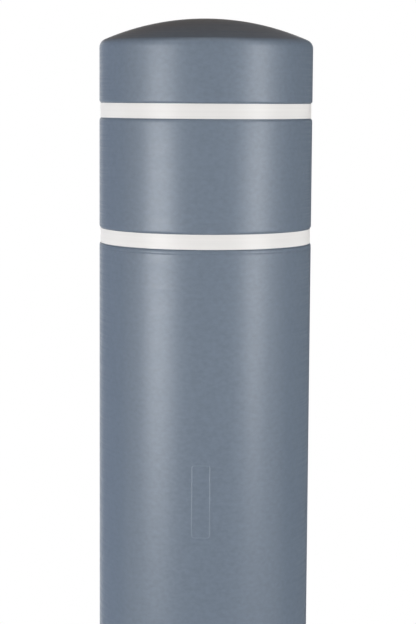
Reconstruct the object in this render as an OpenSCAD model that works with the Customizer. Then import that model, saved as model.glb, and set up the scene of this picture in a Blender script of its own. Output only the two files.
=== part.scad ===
// Domed plastic sleeve that slips over a steel pipe bollard.
// Two reflective tapes lie in moulded grooves, and foam strips inside centre the sleeve on the pipe.
// Lengths are in millimetres. The origin is the middle of the bottom rim, +Z is up and -Y is the front.

/* [Sleeve] */
// Height from the bottom rim to the top of the dome
sleeve_h = 1321; // [900:1:1900]
// Thickness of the moulded wall and dome
wall = 3.2; // [2.4:0.1:5]
// Rise of the dome above the corner where it would meet the wall
dome_rise = 20.6; // [12:0.2:40]
// Radius of the rounded shoulder between the wall and the dome
shoulder_r = 8; // [6:0.5:20]
// Edge break on both corners of the bottom rim
rim_break = 0.6; // [0.2:0.1:1]

/* [Band grooves] */
// Distance from the top of the dome down to the middle of the upper band
upper_band_drop = 80; // [60:1:150]
// Distance between the middles of the two bands
band_pitch = 109.4; // [50:0.2:250]
// Depth of the tape's face below the wall's surface
tape_recess = 0.9; // [0.4:0.05:1.2]
// Height of the rounded lip above each groove's floor
upper_lip_h = 2; // [1:0.1:6]
// Height of the rounded lip below each groove's floor
lower_lip_h = 2.8; // [1:0.1:6]
// Bare floor left above and below the tape
tape_margin = 0.6; // [0.1:0.1:2]
// Depth of the fine ring that the mould leaves in the wall below the lower groove
ring_depth = 0.25; // [0.1:0.05:0.6]
// Height of that ring
ring_h = 1; // [0.5:0.1:3]

/* [Reflective tape] */
// Width of the tape
tape_w = 12.7; // [6:0.1:50]
// Thickness of one layer of tape
tape_t = 0.3; // [0.1:0.05:0.5]
// Glue line between the tape and the groove's floor
tape_glue = 0.1; // [0.05:0.05:0.2]
// Length of the tape's end that laps over its start, at the back
tape_lap = 30; // [10:1:80]

/* [Foam strips] */
// Outside diameter of the pipe that the strips grip
pipe_d = 168.3; // [110:0.1:330]
// Thickness of a strip
strip_t = 6.25; // [3:0.05:13]
// Strips in each of the two rings
strip_count = 4; // [3:1:6]
// Width of a strip around the pipe
strip_w = 25.4; // [10:0.1:60]
// Length of a strip along the pipe
strip_l = 150; // [50:1:400]
// Height of the lower strips above the bottom rim
lower_strip_rise = 25; // [5:1:200]
// Distance from the top of the dome down to the upper strips
upper_strip_drop = 60; // [50:1:200]
// Glue line between a strip and the bore
strip_glue = 0.1; // [0.05:0.05:0.3]

/* [Hidden] */
$fn = 96;
full_turn = 360;
half_turn = 180;
quarter_turn = 90;
// Straight steps along each rounded stretch of the section
dome_steps = 12;
shoulder_steps = 8;
lip_steps = 8;
ring_steps = 6;

// The bore leaves room for the strips all round the pipe
pipe_r = pipe_d / 2;
bore_r = pipe_r + strip_t + strip_glue;
sleeve_r = bore_r + wall;

// The dome is part of a sphere through the top and the corner above the wall
dome_r = (sleeve_r * sleeve_r + dome_rise * dome_rise) / (2 * dome_rise);
dome_c = [0, sleeve_h - dome_r];
// The shoulder is an arc that leaves the wall upright and meets the dome without a corner
shoulder_x = sleeve_r - shoulder_r;
shoulder_up = sqrt(pow(dome_r - shoulder_r, 2) - pow(shoulder_x, 2));
shoulder_c = dome_c + [shoulder_x, shoulder_up];
crown_a = atan2(shoulder_up, shoulder_x);

// Heights of the middles of the bands, from the lower one up
band_z = [
    sleeve_h - upper_band_drop - band_pitch,
    sleeve_h - upper_band_drop,
];
floor_h = tape_w + 2 * tape_margin;
groove_depth = tape_recess + tape_t + tape_glue;
floor_r = sleeve_r - groove_depth;
tape_r = floor_r + tape_glue;
lap_a = tape_lap / tape_r * half_turn / PI;

strip_a = strip_w / pipe_r * half_turn / PI;
strip_step_a = full_turn / strip_count;
upper_strip_z = sleeve_h - upper_strip_drop - strip_l;

shell_colour = [0.44, 0.49, 0.54];
tape_colour = [0.90, 0.89, 0.88];
foam_colour = [0.15, 0.15, 0.16];

// Points along an arc of a circle, from angle a0 to angle a1
function arc(centre, r, a0, a1, steps) = [
    for (i = [0:steps])
        let (a = a0 + (a1 - a0) * i / steps)
        centre + r * [cos(a), sin(a)]
];

// The list without its first point
function tail(points) = [for (i = [1:len(points) - 1]) points[i]];

// The list from its last point to its first
function backwards(points) = [for (i = [len(points) - 1:-1:0]) points[i]];

// Shoulder and dome from the wall to the axis, set in from the outer surface
function crown(inset) = concat(
    arc(shoulder_c, shoulder_r - inset, 0, crown_a, shoulder_steps),
    tail(arc(dome_c, dome_r - inset, crown_a, quarter_turn, dome_steps))
);

// A quarter of an ellipse, as shares of a lip's depth and height, from the wall at 0 to the floor at 1
function lip_shares(step) =
    let (a = quarter_turn * step / lip_steps)
    [1 - cos(a), sin(a)];

// Points of a lip from the wall to the floor, which is at height z and lies lip_h further on
function lip(z, lip_h) = [
    for (step = [0:lip_steps])
        let (shares = lip_shares(step))
        [sleeve_r - groove_depth * shares[0], z - lip_h * (1 - shares[1])]
];

// Both lips of the groove whose middle is at height z, with its flat floor between them
function groove(z) = concat(
    lip(z - floor_h / 2, lower_lip_h),
    backwards(lip(z + floor_h / 2, -upper_lip_h))
);

// Points of the fine ring from its lower edge up to height z, where the lip's own first point follows
function fine_ring(z) = [
    for (step = [0:ring_steps - 1])
        let (share = step / ring_steps)
        [sleeve_r - ring_depth * pow(sin(half_turn * share), 2), z - ring_h * (1 - share)]
];

// Half of the shell's section, up the outside and down the inside
module shell_section() {
    polygon(concat(
        [[sleeve_r - rim_break, 0], [sleeve_r, rim_break]],
        fine_ring(band_z[0] - floor_h / 2 - lower_lip_h),
        groove(band_z[0]),
        groove(band_z[1]),
        crown(0),
        backwards(crown(wall)),
        [[bore_r, rim_break], [bore_r + rim_break, 0]]
    ));
}

module sleeve_shell() {
    color(shell_colour)
        rotate_extrude()
            shell_section();
}

// Section through layers of tape, counted outwards from the groove's floor
module tape_section(z, from_layer, to_layer) {
    translate([tape_r + from_layer * tape_t, z - tape_w / 2])
        square([(to_layer - from_layer) * tape_t, tape_w]);
}

// A tape once round the groove, with a second layer where its ends lap at the back
module reflective_tape(z) {
    color(tape_colour) {
        rotate_extrude()
            tape_section(z, 0, 1);
        rotate(quarter_turn - lap_a / 2)
            rotate_extrude(angle = lap_a)
                tape_section(z, 1 / 2, 2);
    }
}

// A strip whose middle is at an angle round the bore, from height z up
module foam_strip(angle, z) {
    color(foam_colour)
        rotate(angle - strip_a / 2)
            rotate_extrude(angle = strip_a)
                translate([pipe_r, z])
                    square([strip_t, strip_l]);
}

// The lower ring is turned half a step from the upper one, so that the two grip the pipe all round
module upper_foam_strip(i) {
    foam_strip(i * strip_step_a, upper_strip_z);
}

module lower_foam_strip(i) {
    foam_strip((i - 1 / 2) * strip_step_a, lower_strip_rise);
}

sleeve_shell();
reflective_tape(band_z[1]);  // upper_reflective_tape
reflective_tape(band_z[0]);  // lower_reflective_tape
for (i = [1:strip_count]) {
    upper_foam_strip(i);
    lower_foam_strip(i);
}
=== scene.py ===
"""A bollard cover sleeve in a small white studio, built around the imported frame. Lengths are in metres."""

import math
from collections import namedtuple

import bpy
from mathutils import Matrix, Quaternion, Vector


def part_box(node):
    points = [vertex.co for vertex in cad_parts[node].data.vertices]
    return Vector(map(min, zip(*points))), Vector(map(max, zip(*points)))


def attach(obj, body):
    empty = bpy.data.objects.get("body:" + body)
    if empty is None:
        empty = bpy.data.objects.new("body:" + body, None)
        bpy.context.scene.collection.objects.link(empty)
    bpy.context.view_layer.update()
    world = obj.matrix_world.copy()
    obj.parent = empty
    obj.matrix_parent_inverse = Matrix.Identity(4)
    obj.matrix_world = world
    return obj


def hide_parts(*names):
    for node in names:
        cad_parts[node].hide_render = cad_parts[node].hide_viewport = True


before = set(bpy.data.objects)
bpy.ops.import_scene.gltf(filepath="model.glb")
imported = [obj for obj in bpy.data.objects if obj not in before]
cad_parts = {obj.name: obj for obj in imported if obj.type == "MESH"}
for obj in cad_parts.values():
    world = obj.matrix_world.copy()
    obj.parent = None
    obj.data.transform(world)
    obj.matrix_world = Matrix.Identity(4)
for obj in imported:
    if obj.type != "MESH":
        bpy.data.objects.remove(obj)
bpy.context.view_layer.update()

MM = 0.001
BODY = "root"
FULL_TURN = 2 * math.pi
QUARTER_TURN = math.pi / 2
FRONT = -QUARTER_TURN
BACK = QUARTER_TURN

# Sizes taken from the frame. A tape's lapped ends make its box one layer deeper at the back.
SHELL_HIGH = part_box("sleeve_shell")[1]
SLEEVE_R = SHELL_HIGH.x
SLEEVE_H = SHELL_HIGH.z
TAPE_NODES = {
    "upper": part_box("upper_reflective_tape"),
    "lower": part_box("lower_reflective_tape"),
}
TAPE_HIGH = TAPE_NODES["upper"][1]
TAPE_T = TAPE_HIGH.y - TAPE_HIGH.x
TAPE_R = TAPE_HIGH.x - TAPE_T

# Sizes of the moulding that the boxes don't give
WALL = 3.2 * MM
DOME_RISE = 20.6 * MM
SHOULDER_R = 8 * MM
RIM_ROUND = 0.6 * MM
TAPE_GLUE = 0.1 * MM
TAPE_MARGIN = 0.6 * MM
UPPER_LIP_H = 2 * MM
LOWER_LIP_H = 2.8 * MM
CORNER_FILLET = 0.2 * MM
FLOOR_R = TAPE_R - TAPE_GLUE
BORE_R = SLEEVE_R - WALL

# A fine ring that the mould leaves under the lower band
RING_DEPTH = 0.25 * MM
RING_H = 1 * MM

# Steps along the round stretches of the shell's mesh
COLUMNS = 240
RIM_STEPS = 4
RING_STEPS = 8
LIP_STEPS = 10
FILLET_STEPS = 3
SHOULDER_STEPS = 14
DOME_STEPS = 24

# Extra rows close to both ends of a long straight stretch keep the smooth shading within the round ones
GUARD = 1 * MM
LONG_STRETCH = 4 * GUARD

# A bare moulded panel on the front, marked by a raised outline
PANEL_ANGLE = FRONT - math.radians(1.5)
PANEL_Z = 910 * MM
PANEL_W = 15.2 * MM
PANEL_H = 62.4 * MM
PANEL_CORNER_R = 2 * MM
PANEL_RIDGE_W = 1.2 * MM
PANEL_RIDGE_H = 0.25 * MM
PANEL_STEP = 0.2 * MM
PANEL_CLEAR_STEPS = 3
# An even column is left out where it lies closer than this to one of the panel's own
COLUMN_CLEAR = FULL_TURN / COLUMNS / 4
# Name of the mesh attribute with the ridge's share at each point, where the plastic carries a painted
# highlight
RIDGE_HIGHLIGHT = "ridge_highlight"


# Meshes

def new_mesh(name, vertices, faces, material):
    """A mesh object in the scene."""
    mesh = bpy.data.meshes.new(name)
    mesh.from_pydata(vertices, [], faces)
    mesh.materials.append(material)
    made = bpy.data.objects.new(name, mesh)
    bpy.context.scene.collection.objects.link(made)
    return made


def sleeve_piece(name, vertices, faces, material):
    """A smooth mesh piece that rides on the sleeve."""
    piece = new_mesh(name, vertices, faces, material)
    piece.data.validate()
    piece.data.shade_smooth()
    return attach(piece, BODY)


def tube_faces(sections, count):
    """Faces of a closed tube through some sections, each a loop of the same count of points."""
    last = sections * count - 1
    faces = [tuple(range(count)), tuple(last - i for i in range(count))]
    for section in range(sections - 1):
        this = section * count
        for i in range(count):
            j = (i + 1) % count
            faces.append((this + j, this + i, this + count + i, this + count + j))
    return faces


def round_the_axis(r, angle, z):
    """A point at a distance from the sleeve's axis."""
    return (r * math.cos(angle), r * math.sin(angle), z)


def arc(centre, radius, start, end, steps):
    """Points (r, z) along an arc of the section."""
    points = []
    for step in range(steps + 1):
        angle = start + (end - start) * step / steps
        points.append((centre[0] + radius * math.cos(angle), centre[1] + radius * math.sin(angle)))
    return points


def smooth_step(share):
    """0 below 0, 1 above 1 and an even S between them."""
    share = min(1.0, max(0.0, share))
    return share * share * (3 - 2 * share)


# Shell

def lip(floor_edge_z, height):
    """A convex lip from the wall to the fillet at the groove's floor. A negative height runs down."""
    way = math.copysign(1, height)
    depth = SLEEVE_R - FLOOR_R - CORNER_FILLET
    points = []
    for step in range(LIP_STEPS + 1):
        angle = QUARTER_TURN * step / LIP_STEPS
        r = SLEEVE_R - depth * (1 - math.cos(angle))
        points.append((r, floor_edge_z - height * (1 - math.sin(angle))))
    for step in range(1, FILLET_STEPS + 1):
        angle = QUARTER_TURN * step / FILLET_STEPS
        r = FLOOR_R + CORNER_FILLET * (1 - math.sin(angle))
        points.append((r, floor_edge_z + way * CORNER_FILLET * (1 - math.cos(angle))))
    return points


def fine_ring(top):
    """The mould's ring in the wall, from its lower edge up to just below its upper one."""
    points = []
    for step in range(RING_STEPS):
        share = step / RING_STEPS
        depth = RING_DEPTH * math.sin(math.pi * share) ** 2
        points.append((SLEEVE_R - depth, top - RING_H * (1 - share)))
    return points


def band(place):
    """The wall's section past one tape, from below it to above it."""
    low, high = TAPE_NODES[place]
    floor_low = low.z - TAPE_MARGIN
    floor_high = high.z + TAPE_MARGIN
    section = lip(floor_low, LOWER_LIP_H) + lip(floor_high, -UPPER_LIP_H)[::-1]
    if place == "lower":
        section = fine_ring(section[0][1]) + section
    return section


def guarded(points):
    """The section with a guard row near both ends of each long straight stretch."""
    rows = [points[0]]
    for (r0, z0), (r1, z1) in zip(points, points[1:]):
        length = math.hypot(r1 - r0, z1 - z0)
        if length > LONG_STRETCH:
            for share in (GUARD / length, 1 - GUARD / length):
                rows.append((r0 + (r1 - r0) * share, z0 + (z1 - z0) * share))
        rows.append((r1, z1))
    return rows


def crown(inset):
    """Shoulder and dome from the wall to the axis, set in from the outer surface."""
    dome_r = (SLEEVE_R ** 2 + DOME_RISE ** 2) / (2 * DOME_RISE)
    dome_c = (0, SLEEVE_H - dome_r)
    shoulder_x = SLEEVE_R - SHOULDER_R
    shoulder_up = math.sqrt((dome_r - SHOULDER_R) ** 2 - shoulder_x ** 2)
    shoulder_c = (shoulder_x, dome_c[1] + shoulder_up)
    meeting = math.atan2(shoulder_up, shoulder_x)
    shoulder = arc(shoulder_c, SHOULDER_R - inset, 0, meeting, SHOULDER_STEPS)
    dome = arc(dome_c, dome_r - inset, meeting, QUARTER_TURN, DOME_STEPS)
    return shoulder + dome[1:]


def near_outline(middle, half):
    """Closely spaced places across both sides of the panel's outline."""
    reach = PANEL_CORNER_R + PANEL_RIDGE_W
    count = round(reach / PANEL_STEP)
    places = []
    for step in range(-PANEL_CLEAR_STEPS, count + PANEL_CLEAR_STEPS + 1):
        offset = half + PANEL_RIDGE_W / 2 - reach * step / count
        places += [middle - offset, middle + offset]
    return sorted(places)


def panel_share(across, up):
    """Share of the panel's ridge at a place on the wall, measured from the panel's middle."""
    box_x = abs(across) - PANEL_W / 2 + PANEL_CORNER_R
    box_y = abs(up) - PANEL_H / 2 + PANEL_CORNER_R
    outside = math.hypot(max(box_x, 0), max(box_y, 0))
    distance = outside + min(max(box_x, box_y), 0) - PANEL_CORNER_R
    return smooth_step(1 - 2 * abs(distance) / PANEL_RIDGE_W)


def column_angles():
    """Angles of the shell's columns, closer together over the panel's upright edges."""
    even = [FULL_TURN * i / COLUMNS - math.pi for i in range(COLUMNS)]
    close = [PANEL_ANGLE + place / SLEEVE_R for place in near_outline(0, PANEL_W / 2)]
    kept = [a for a in even if min(abs(a - c) for c in close) > COLUMN_CLEAR]
    return sorted(kept + close)


def shell_section():
    """The shell's section as (r, z) points: up the outside to the axis, and down the inside."""
    outer_rim = arc((SLEEVE_R - RIM_ROUND, RIM_ROUND), RIM_ROUND, -QUARTER_TURN, 0, RIM_STEPS)
    inner_rim = arc((BORE_R + RIM_ROUND, RIM_ROUND), RIM_ROUND, math.pi, 3 * QUARTER_TURN, RIM_STEPS)
    panel = [(SLEEVE_R, z) for z in near_outline(PANEL_Z, PANEL_H / 2)]
    outside = outer_rim + panel + band("lower") + band("upper") + crown(0)
    inside = crown(WALL)[::-1] + inner_rim
    return guarded(outside), guarded(inside)


def shell_moulding(material):
    """The one-piece moulding: wall, grooves, domed top, bore and the outline of the bare panel."""
    outside, inside = shell_section()
    angles = column_angles()
    count = len(angles)
    rings = outside[:-1] + inside[1:]
    vertices = []
    raised = []
    for r, z in rings:
        for angle in angles:
            share = 0
            if r == SLEEVE_R:
                share = panel_share((angle - PANEL_ANGLE) * SLEEVE_R, z - PANEL_Z)
            vertices.append(round_the_axis(r + PANEL_RIDGE_H * share, angle, z))
            raised.append(share)
    outer_top = len(vertices)
    vertices.append((0, 0, outside[-1][1]))
    inner_top = len(vertices)
    vertices.append((0, 0, inside[0][1]))

    faces = []
    last_outer = len(outside) - 2
    for ring in range(len(rings)):
        this = ring * count
        above = (ring + 1) % len(rings) * count
        for i in range(count):
            j = (i + 1) % count
            if ring == last_outer:
                faces.append((this + i, this + j, outer_top))
                faces.append((above + j, above + i, inner_top))
            else:
                faces.append((this + i, this + j, above + j, above + i))
    piece = sleeve_piece("shell_moulding", vertices, faces, material)
    # The ridge's share at each point, which the plastic turns into a painted highlight on the panel's raised
    # outline
    ridge_highlight = piece.data.attributes.new(RIDGE_HIGHLIGHT, "FLOAT", "POINT")
    for i, share in enumerate(raised):
        ridge_highlight.data[i].value = share
    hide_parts("sleeve_shell")


# Reflective tapes

TAPE_EDGE_ROUND = 0.06 * MM
TAPE_LAP = 30 * MM
TAPE_LAP_GAP = 0.02 * MM
TAPE_CLIMB = 3 * MM
TAPE_STEPS = 300
TAPE_CLIMB_STEPS = 4
TAPE_LAP_STEPS = 24
TAPE_SHARP_ANGLE = math.radians(35)


def tape_ribbon(place, material):
    """One tape laid round its groove from the back, whose end climbs over its start."""
    low, high = TAPE_NODES[place]
    lap = TAPE_LAP / TAPE_R
    climb = TAPE_CLIMB / TAPE_R
    start = BACK - lap / 2
    corners = [
        (0, low.z + TAPE_EDGE_ROUND),
        (TAPE_EDGE_ROUND, low.z),
        (TAPE_T - TAPE_EDGE_ROUND, low.z),
        (TAPE_T, low.z + TAPE_EDGE_ROUND),
        (TAPE_T, high.z - TAPE_EDGE_ROUND),
        (TAPE_T - TAPE_EDGE_ROUND, high.z),
        (TAPE_EDGE_ROUND, high.z),
        (0, high.z - TAPE_EDGE_ROUND),
    ]
    even = [FULL_TURN * i / TAPE_STEPS for i in range(TAPE_STEPS)]
    before_climb = [turn for turn in even if turn < FULL_TURN - climb]
    climbing = [FULL_TURN - climb * i / TAPE_CLIMB_STEPS for i in range(TAPE_CLIMB_STEPS)]
    lapping = [FULL_TURN + lap * i / TAPE_LAP_STEPS for i in range(1, TAPE_LAP_STEPS + 1)]
    turns = sorted(before_climb + climbing + lapping)
    vertices = []
    for turn in turns:
        rise = (TAPE_T + TAPE_LAP_GAP) * smooth_step((turn - FULL_TURN + climb) / climb)
        for depth, z in corners:
            vertices.append(round_the_axis(TAPE_R + rise + depth, start + turn, z))
    faces = tube_faces(len(turns), len(corners))
    piece = sleeve_piece(place + "_tape_ribbon", vertices, faces, material)
    piece.data.set_sharp_from_angle(angle=TAPE_SHARP_ANGLE)
    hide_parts(place + "_reflective_tape")


# Foam strips

FOAM_W = 25.4 * MM
FOAM_CORNER = 1.2 * MM
FOAM_CROWN = 0.5 * MM
FOAM_PULL = 0.4 * MM
FOAM_SIDE_STEPS = 6
FOAM_FACE_STEPS = 14
FOAM_LENGTH_STEPS = 40
FOAM_END_STEPS = 4
FOAM_SHARP_ANGLE = math.radians(40)


def foam_loop(thickness):
    """The strip's section as (across, depth from the glued face): sides drawn in and face crowned."""
    half = FOAM_W / 2
    right = []
    for step in range(FOAM_SIDE_STEPS + 1):
        share = step / FOAM_SIDE_STEPS
        pull = FOAM_PULL * math.sin(math.pi * share)
        right.append((half - pull, (thickness - FOAM_CORNER - FOAM_CROWN) * share))
    for step in range(1, FOAM_END_STEPS + 1):
        angle = QUARTER_TURN * step / FOAM_END_STEPS
        depth = thickness - FOAM_CROWN - FOAM_CORNER * (1 - math.sin(angle))
        right.append((half - FOAM_CORNER * (1 - math.cos(angle)), depth))
    face_half = half - FOAM_CORNER
    face = []
    for step in range(1, FOAM_FACE_STEPS):
        across = face_half * (1 - 2 * step / FOAM_FACE_STEPS)
        face.append((across, thickness - FOAM_CROWN * (across / face_half) ** 2))
    left = [(-across, depth) for across, depth in reversed(right)]
    return right + face + left


def foam_places(low, high):
    """Heights along a strip with the thickness that it loses there, because its ends are round."""
    near = []
    for step in range(FOAM_END_STEPS + 1):
        angle = QUARTER_TURN * step / FOAM_END_STEPS
        near.append((FOAM_CORNER * (1 - math.cos(angle)), FOAM_CORNER * (1 - math.sin(angle))))
    length = high - low
    inner = length - 2 * FOAM_CORNER
    even = [(FOAM_CORNER + inner * i / FOAM_LENGTH_STEPS, 0) for i in range(1, FOAM_LENGTH_STEPS)]
    far = [(length - up, drop) for up, drop in reversed(near)]
    return [(low + up, drop) for up, drop in near + even + far]


def foam_pad(node, material):
    """One foam strip, glued to the bore in the place of its solid."""
    low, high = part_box(node)
    middle = (low + high) / 2
    angle = math.atan2(middle.y, middle.x)
    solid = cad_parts[node].data.vertices
    inner_r = min(math.hypot(v.co.x, v.co.y) for v in solid)
    outer_r = max(math.hypot(v.co.x, v.co.y) for v in solid)
    thickness = outer_r - inner_r
    loop = foam_loop(thickness)
    places = foam_places(low.z, high.z)
    vertices = []
    for z, drop in places:
        keep = 1 - drop / thickness
        for across, depth in loop:
            vertices.append(round_the_axis(outer_r - depth * keep, angle + across / outer_r, z))
    faces = tube_faces(len(places), len(loop))
    piece = sleeve_piece(node.replace("strip", "pad"), vertices, faces, material)
    piece.data.set_sharp_from_angle(angle=FOAM_SHARP_ANGLE)
    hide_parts(node)


# Shader nodes

# A noise is stretched along each axis, and a relief is a bump's height in metres with its strength
Noise = namedtuple("Noise", "stretch scale detail")
Relief = namedtuple("Relief", "height strength")
EVEN = (1, 1, 1)
NOISE_MIDDLE = 0.5
NOISE_CONTRAST = 0.25
# The Mix node's colour sockets, by place because those of its other data types have the same names
MIX_FACTOR = 0
MIX_FIRST = 6
MIX_SECOND = 7
MIX_RESULT = 2


def new_material(name):
    """An empty node material, with its tree and its surface output."""
    material = bpy.data.materials.new(name)
    material.use_nodes = True
    tree = material.node_tree
    tree.nodes.clear()
    return material, tree, tree.nodes.new("ShaderNodeOutputMaterial")


def add(tree, kind, inputs=(), **settings):
    """A node with its settings. An input is a value or another node's socket."""
    made = tree.nodes.new(kind)
    for name, value in settings.items():
        setattr(made, name, value)
    for socket, value in dict(inputs).items():
        if isinstance(value, bpy.types.NodeSocket):
            tree.links.new(value, made.inputs[socket])
        else:
            made.inputs[socket].default_value = value
    return made


def own_place(tree):
    """The shaded point in the object's own space."""
    return add(tree, "ShaderNodeTexCoord").outputs["Object"]


def noise(tree, place, kind):
    """One kind of noise at a place, as a number from about 0 to 1."""
    mapping = add(tree, "ShaderNodeMapping", {"Vector": place, "Scale": kind.stretch})
    texture = add(
        tree,
        "ShaderNodeTexNoise",
        {"Vector": mapping.outputs["Vector"], "Scale": kind.scale, "Detail": kind.detail},
    )
    return texture.outputs["Fac"]


def cells(tree, place, scale):
    """Distance to the middle of the nearest of many cells."""
    return add(tree, "ShaderNodeTexVoronoi", {"Vector": place, "Scale": scale}).outputs["Distance"]


def spread(tree, value, low, high, contrast=NOISE_CONTRAST):
    """A texture's value, as far as the contrast from the middle, mapped to a range of values."""
    mapped = add(
        tree,
        "ShaderNodeMapRange",
        {
            "Value": value,
            "From Min": NOISE_MIDDLE - contrast,
            "From Max": NOISE_MIDDLE + contrast,
            "To Min": low,
            "To Max": high,
        },
    )
    return mapped.outputs["Result"]


def ramp(tree, value, low, high):
    """0 below one value, 1 above another and an even S between them."""
    mapped = add(
        tree,
        "ShaderNodeMapRange",
        {"Value": value, "From Min": low, "From Max": high},
        interpolation_type="SMOOTHSTEP",
    )
    return mapped.outputs["Result"]


def combined(tree, operation, first, second):
    """One number from two."""
    return add(tree, "ShaderNodeMath", {0: first, 1: second}, operation=operation).outputs[0]


def bump(tree, height, relief, normal=None):
    """A bump, on top of another normal where one is given."""
    inputs = {"Height": height, "Distance": relief.height, "Strength": relief.strength}
    if normal is not None:
        inputs["Normal"] = normal
    return add(tree, "ShaderNodeBump", inputs).outputs["Normal"]


def mixed(tree, factor, first, second):
    """A colour between two others, each a value or another node's socket."""
    inputs = {MIX_FACTOR: factor}
    for socket, colour in ((MIX_FIRST, first), (MIX_SECOND, second)):
        inputs[socket] = colour if isinstance(colour, bpy.types.NodeSocket) else (*colour, 1)
    return add(tree, "ShaderNodeMix", inputs, data_type="RGBA").outputs[MIX_RESULT]


def principled(tree, output, inputs):
    """A principled surface on the material's output."""
    shader = add(tree, "ShaderNodeBsdfPrincipled", inputs)
    tree.links.new(shader.outputs["BSDF"], output.inputs["Surface"])


# Materials

PLASTIC_MOTTLE = Noise(EVEN, 9, 3)
PLASTIC_RINGS = Noise((2, 2, 260), 1, 4)
PLASTIC_STREAKS = Noise((14, 14, 800), 1, 2)
PLASTIC_FLECKS = Noise((1, 1, 1.4), 220, 2)
PLASTIC_GRAIN = Noise(EVEN, 1400, 2)
PLASTIC_DARK = (0.101, 0.132, 0.176)
PLASTIC_LIGHT = (0.110, 0.144, 0.190)
PLASTIC_RING = (0.0905, 0.119, 0.163)
PLASTIC_RING_SHARE = 0.5
PLASTIC_FLECK = (0.1225, 0.159, 0.209)
# Painted highlight: the lighter colour laid on the panel's raised outline
PLASTIC_RIDGE_HIGHLIGHT = (0.146, 0.186, 0.237)
PLASTIC_ROUGHNESS = (0.32, 0.40)
PLASTIC_STREAK_CONTRAST = 0.15
PLASTIC_IOR = 1.65
PLASTIC_GRAIN_RELIEF = Relief(0.03 * MM, 0.5)
PLASTIC_RING_RELIEF = Relief(0.04 * MM, 0.5)

FILM_STREAKS = Noise((3, 3, 500), 1, 3)
FILM_BEAD_SCALE = 2500
FILM_DARK = (0.735, 0.72, 0.705)
FILM_LIGHT = (0.77, 0.755, 0.74)
FILM_ROUGHNESS = (0.38, 0.46)
FILM_IOR = 1.55
FILM_BEAD_RELIEF = Relief(0.05 * MM, 0.3)

FOAM_CELL_SCALE = 900
FOAM_LUMPS = Noise(EVEN, 160, 3)
# Colours at the middle and at the edge of a cut cell; the darker middle is painted shade in the cell's
# hollow
FOAM_DARK = (0.012, 0.012, 0.014)
FOAM_LIGHT = (0.034, 0.034, 0.036)
FOAM_ROUGHNESS = (0.8, 0.95)
FOAM_CELL_RELIEF = Relief(0.4 * MM, 0.7)
FOAM_LUMP_RELIEF = Relief(0.6 * MM, 0.4)


def plastic_material():
    """Satin moulded plastic with a fine grain, the faint rings of a turned mould and a painted highlight on
    the panel's raised outline.
    """
    material, tree, output = new_material("slate_plastic")
    place = own_place(tree)
    mottle = noise(tree, place, PLASTIC_MOTTLE)
    rings = noise(tree, place, PLASTIC_RINGS)
    streaks = noise(tree, place, PLASTIC_STREAKS)
    flecks = noise(tree, place, PLASTIC_FLECKS)
    grain = noise(tree, place, PLASTIC_GRAIN)
    ridge_highlight = add(tree, "ShaderNodeAttribute", attribute_name=RIDGE_HIGHLIGHT).outputs["Fac"]
    colour = mixed(tree, spread(tree, mottle, 0, 1), PLASTIC_DARK, PLASTIC_LIGHT)
    colour = mixed(tree, spread(tree, rings, 0, PLASTIC_RING_SHARE), colour, PLASTIC_RING)
    colour = mixed(tree, spread(tree, flecks, 0, 1), colour, PLASTIC_FLECK)
    # Painted highlight: the panel's raised outline is painted lighter
    colour = mixed(tree, ridge_highlight, colour, PLASTIC_RIDGE_HIGHLIGHT)
    normal = bump(tree, grain, PLASTIC_GRAIN_RELIEF)
    normal = bump(tree, rings, PLASTIC_RING_RELIEF, normal)
    principled(
        tree,
        output,
        {
            "Base Color": colour,
            "Roughness": spread(tree, streaks, *PLASTIC_ROUGHNESS, PLASTIC_STREAK_CONTRAST),
            "IOR": PLASTIC_IOR,
            "Normal": normal,
        },
    )
    return material


def film_material():
    """Off-white beaded reflective film, with faint streaks along its length."""
    material, tree, output = new_material("white_reflective_film")
    place = own_place(tree)
    streaks = noise(tree, place, FILM_STREAKS)
    beads = cells(tree, place, FILM_BEAD_SCALE)
    principled(
        tree,
        output,
        {
            "Base Color": mixed(tree, spread(tree, streaks, 0, 1), FILM_DARK, FILM_LIGHT),
            "Roughness": spread(tree, streaks, *FILM_ROUGHNESS),
            "IOR": FILM_IOR,
            "Normal": bump(tree, beads, FILM_BEAD_RELIEF),
        },
    )
    return material


def foam_material():
    """Dark closed-cell foam with its cut cells showing, each painted darker at its middle, where its bump is
    lowest: painted shade in its hollow.
    """
    material, tree, output = new_material("dark_foam")
    place = own_place(tree)
    cut_cells = cells(tree, place, FOAM_CELL_SCALE)
    lumps = noise(tree, place, FOAM_LUMPS)
    normal = bump(tree, cut_cells, FOAM_CELL_RELIEF)
    principled(
        tree,
        output,
        {
            # Painted shade: each cut cell is painted darker at its middle, the bottom of its hollow
            "Base Color": mixed(tree, spread(tree, cut_cells, 0, 1), FOAM_DARK, FOAM_LIGHT),
            "Roughness": spread(tree, lumps, *FOAM_ROUGHNESS),
            "Normal": bump(tree, lumps, FOAM_LUMP_RELIEF, normal),
        },
    )
    return material


# Studio

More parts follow.
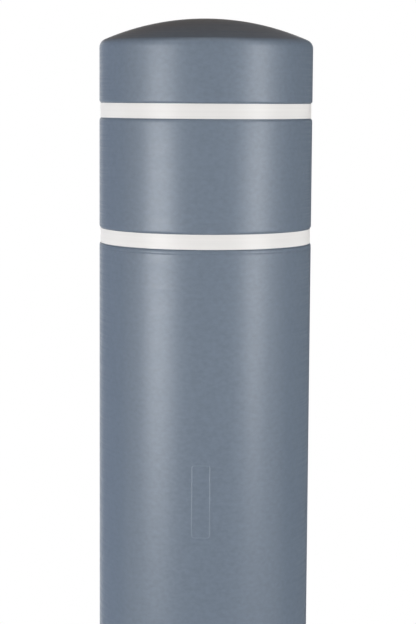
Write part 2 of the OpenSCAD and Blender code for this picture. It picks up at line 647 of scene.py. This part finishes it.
# Softboxes: azimuth in degrees from the camera's side, roll in degrees, lengths in metres, power in watts.
# Matt ones light the colours, and gloss ones show as highlights.
Lamp = namedtuple("Lamp", "name azimuth distance z width height roll power matt gloss")
LAMPS = (
    Lamp("left_strip", -47.5, 1.6, 1.01, 0.8, 0.7, 0, 7.7, False, True),
    Lamp("right_strip", 55.5, 1.6, 1.11, 0.58, 0.86, -34, 4.7, False, True),
    Lamp("left_upper", -50, 1.5, 2.3, 0.8, 1.6, 0, 4.7, False, True),
    Lamp("right_upper", 55, 1.5, 2.3, 0.8, 1.6, 0, 6.6, False, True),
    Lamp("left_key", -54, 3.0, 0.75, 1.4, 1.2, 0, 62.0, True, False),
    Lamp("right_key", 54, 2.2, 1.1, 1.0, 0.9, 0, 31.5, True, False),
    Lamp("left_side", -115, 2.5, 1.1, 1.2, 1.2, 0, 15.0, True, False),
    Lamp("right_side", 115, 2.5, 1.1, 1.2, 1.2, 0, 15.0, True, False),
    Lamp("rear", 180, 2.5, 1.3, 1.6, 1.2, 0, 28.0, True, False),
    Lamp("overhead", 0, 0.1, 3.6, 0.8, 0.8, 0, 13.5, True, False),
)
LAMP_AIM_Z = 1.25

# The room: white walls that give way to a ceiling between two values of the direction's Z.
# In gloss the ceiling changes from its front to its back colour between two values of the direction's Y.
BLACK = (0, 0, 0)
WHITE = (1.0, 1.0, 1.0)
MATT_CEILING = (0.02, 0.02, 0.02)
FRONT_CEILING = (0.95, 0.95, 0.95)
BACK_CEILING = (0.152, 0.09, 0.03)
CEILING_LOW = math.sin(math.radians(9))
CEILING_HIGH = math.sin(math.radians(14))
BACK_LOW = -0.36
BACK_HIGH = 0.54

# Curved cards beside and behind the sleeve, between two angles in degrees from the back to the right
Flag = namedtuple("Flag", "name start end colour")
FLAGS = (
    Flag("left_flag", -88, -32, (0.22, 0.24, 0.33)),
    Flag("right_flag", 12, 88, (0.12, 0.115, 0.105)),
)
FLAG_R = 2.0
FLAG_H = 2.2
FLAG_STEPS = 24

# The floor glows a little, and turns from pale to plain white between two distances from the axis
GROUND_R = 40.0
GROUND_STEPS = 96
GROUND_COLOUR = (0.6, 0.6, 0.6)
GROUND_LIFT = 0.49
GROUND_PALE_R = 0.9
GROUND_WHITE_R = 2.3


def studio_lights():
    """Softboxes round the sleeve, all aimed at the same height on its axis."""
    aim = Vector((0, 0, LAMP_AIM_Z))
    for lamp in LAMPS:
        data = bpy.data.lights.new(lamp.name, "AREA")
        data.shape = "RECTANGLE"
        data.size = lamp.width
        data.size_y = lamp.height
        data.energy = lamp.power
        softbox = bpy.data.objects.new(lamp.name, data)
        azimuth = math.radians(lamp.azimuth)
        place = Vector((math.sin(azimuth) * lamp.distance, -math.cos(azimuth) * lamp.distance, lamp.z))
        facing = (aim - place).to_track_quat("-Z", "Y")
        roll = Quaternion((0, 0, 1), math.radians(lamp.roll))
        softbox.location = place
        softbox.rotation_euler = (facing @ roll).to_euler()
        softbox.visible_camera = False
        softbox.visible_diffuse = lamp.matt
        softbox.visible_glossy = lamp.gloss
        bpy.context.scene.collection.objects.link(softbox)


def studio_world():
    """White to the camera. To the sleeve it is a room with white walls under a darker ceiling."""
    world = bpy.data.worlds.new("studio")
    bpy.context.scene.world = world
    world.use_nodes = True
    tree = world.node_tree
    tree.nodes.clear()
    path = add(tree, "ShaderNodeLightPath").outputs
    way = add(tree, "ShaderNodeTexCoord").outputs["Generated"]
    parts = add(tree, "ShaderNodeSeparateXYZ", {"Vector": way}).outputs
    behind = ramp(tree, parts["Y"], BACK_LOW, BACK_HIGH)
    above = ramp(tree, parts["Z"], CEILING_LOW, CEILING_HIGH)
    seen = combined(tree, "MAXIMUM", path["Is Camera Ray"], path["Is Transmission Ray"])
    in_gloss = mixed(tree, behind, FRONT_CEILING, BACK_CEILING)
    ceiling = mixed(tree, path["Is Glossy Ray"], MATT_CEILING, in_gloss)
    room = mixed(tree, above, WHITE, ceiling)
    light = add(tree, "ShaderNodeBackground", {"Color": mixed(tree, seen, room, WHITE)})
    output = tree.nodes.new("ShaderNodeOutputWorld")
    tree.links.new(light.outputs["Background"], output.inputs["Surface"])


def floor_material():
    """Pale, with the sleeve's shadow, and white further away. From below it is clear."""
    material, tree, output = new_material("pale_floor")
    away = add(tree, "ShaderNodeVectorMath", {0: own_place(tree)}, operation="LENGTH").outputs["Value"]
    far = ramp(tree, away, GROUND_PALE_R, GROUND_WHITE_R)
    path = add(tree, "ShaderNodeLightPath").outputs
    seen = combined(tree, "MAXIMUM", path["Is Camera Ray"], path["Is Glossy Ray"])
    seen = combined(tree, "MAXIMUM", seen, path["Is Transmission Ray"])
    far_seen = combined(tree, "MULTIPLY", far, seen)
    lift = add(tree, "ShaderNodeMapRange", {"Value": far, "To Min": GROUND_LIFT, "To Max": 1.0})
    strength = combined(tree, "MULTIPLY", lift.outputs["Result"], seen)
    matt = add(tree, "ShaderNodeBsdfDiffuse", {"Color": mixed(tree, far_seen, GROUND_COLOUR, BLACK)})
    glow = add(tree, "ShaderNodeEmission", {"Strength": strength})
    both = add(tree, "ShaderNodeAddShader", {0: matt.outputs["BSDF"], 1: glow.outputs["Emission"]})
    below = add(tree, "ShaderNodeNewGeometry").outputs["Backfacing"]
    clear = add(tree, "ShaderNodeBsdfTransparent")
    surface = add(
        tree,
        "ShaderNodeMixShader",
        {0: below, 1: both.outputs["Shader"], 2: clear.outputs["BSDF"]},
    )
    tree.links.new(surface.outputs["Shader"], output.inputs["Surface"])
    return material


def studio_floor():
    """A round floor that is open under the bore."""
    vertices = []
    faces = []
    for i in range(GROUND_STEPS):
        angle = FULL_TURN * i / GROUND_STEPS
        for r in (BORE_R, GROUND_R):
            vertices.append(round_the_axis(r, angle, 0))
        this = 2 * i
        ahead = 2 * ((i + 1) % GROUND_STEPS)
        faces.append((this, this + 1, ahead + 1, ahead))
    ground = new_mesh("studio_floor", vertices, faces, floor_material())


def studio_flags():
    """Dim cards that only the sleeve's gloss shows, so that its edges stay clear of the white."""
    for flag in FLAGS:
        material, tree, output = new_material(flag.name)
        glow = add(tree, "ShaderNodeEmission", {"Color": (*flag.colour, 1)})
        tree.links.new(glow.outputs["Emission"], output.inputs["Surface"])
        start = math.radians(flag.start)
        end = math.radians(flag.end)
        vertices = []
        for i in range(FLAG_STEPS + 1):
            angle = start + (end - start) * i / FLAG_STEPS
            x = FLAG_R * math.sin(angle)
            y = FLAG_R * math.cos(angle)
            vertices += [(x, y, 0), (x, y, FLAG_H)]
        faces = [(2 * i, 2 * i + 2, 2 * i + 3, 2 * i + 1) for i in range(FLAG_STEPS)]
        card = new_mesh(flag.name, vertices, faces, material)
        card.visible_camera = False
        card.visible_diffuse = False
        card.visible_shadow = False


# Camera

CAMERA_PLACE = (0, -1.652, 1.25285)
CAMERA_LENS = 107.5
CAMERA_PITCH = math.radians(6.583)
CAMERA_ROLL = math.radians(0.354)
CAMERA_YAW = math.radians(0.101)


def studio_camera():
    """The camera at the photograph's angle: a little above the bands, looking slightly down."""
    data = bpy.data.cameras.new("camera")
    data.lens = CAMERA_LENS
    camera = bpy.data.objects.new("camera", data)
    turn = Matrix.Rotation(-CAMERA_YAW, 4, "Z")
    tilt = Matrix.Rotation(QUARTER_TURN - CAMERA_PITCH, 4, "X")
    roll = Matrix.Rotation(CAMERA_ROLL, 4, "Z")
    camera.matrix_world = Matrix.Translation(CAMERA_PLACE) @ turn @ tilt @ roll
    bpy.context.scene.collection.objects.link(camera)
    bpy.context.scene.camera = camera


def build():
    """Makes every piece, then the studio around them."""
    plastic = plastic_material()
    film = film_material()
    foam = foam_material()
    shell_moulding(plastic)
    for place in TAPE_NODES:
        tape_ribbon(place, film)
    for node in sorted(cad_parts):
        if "foam_strip" in node:
            foam_pad(node, foam)
    studio_world()
    studio_floor()
    studio_lights()
    studio_flags()
    studio_camera()
    bpy.context.scene.view_settings.view_transform = "Standard"


build()
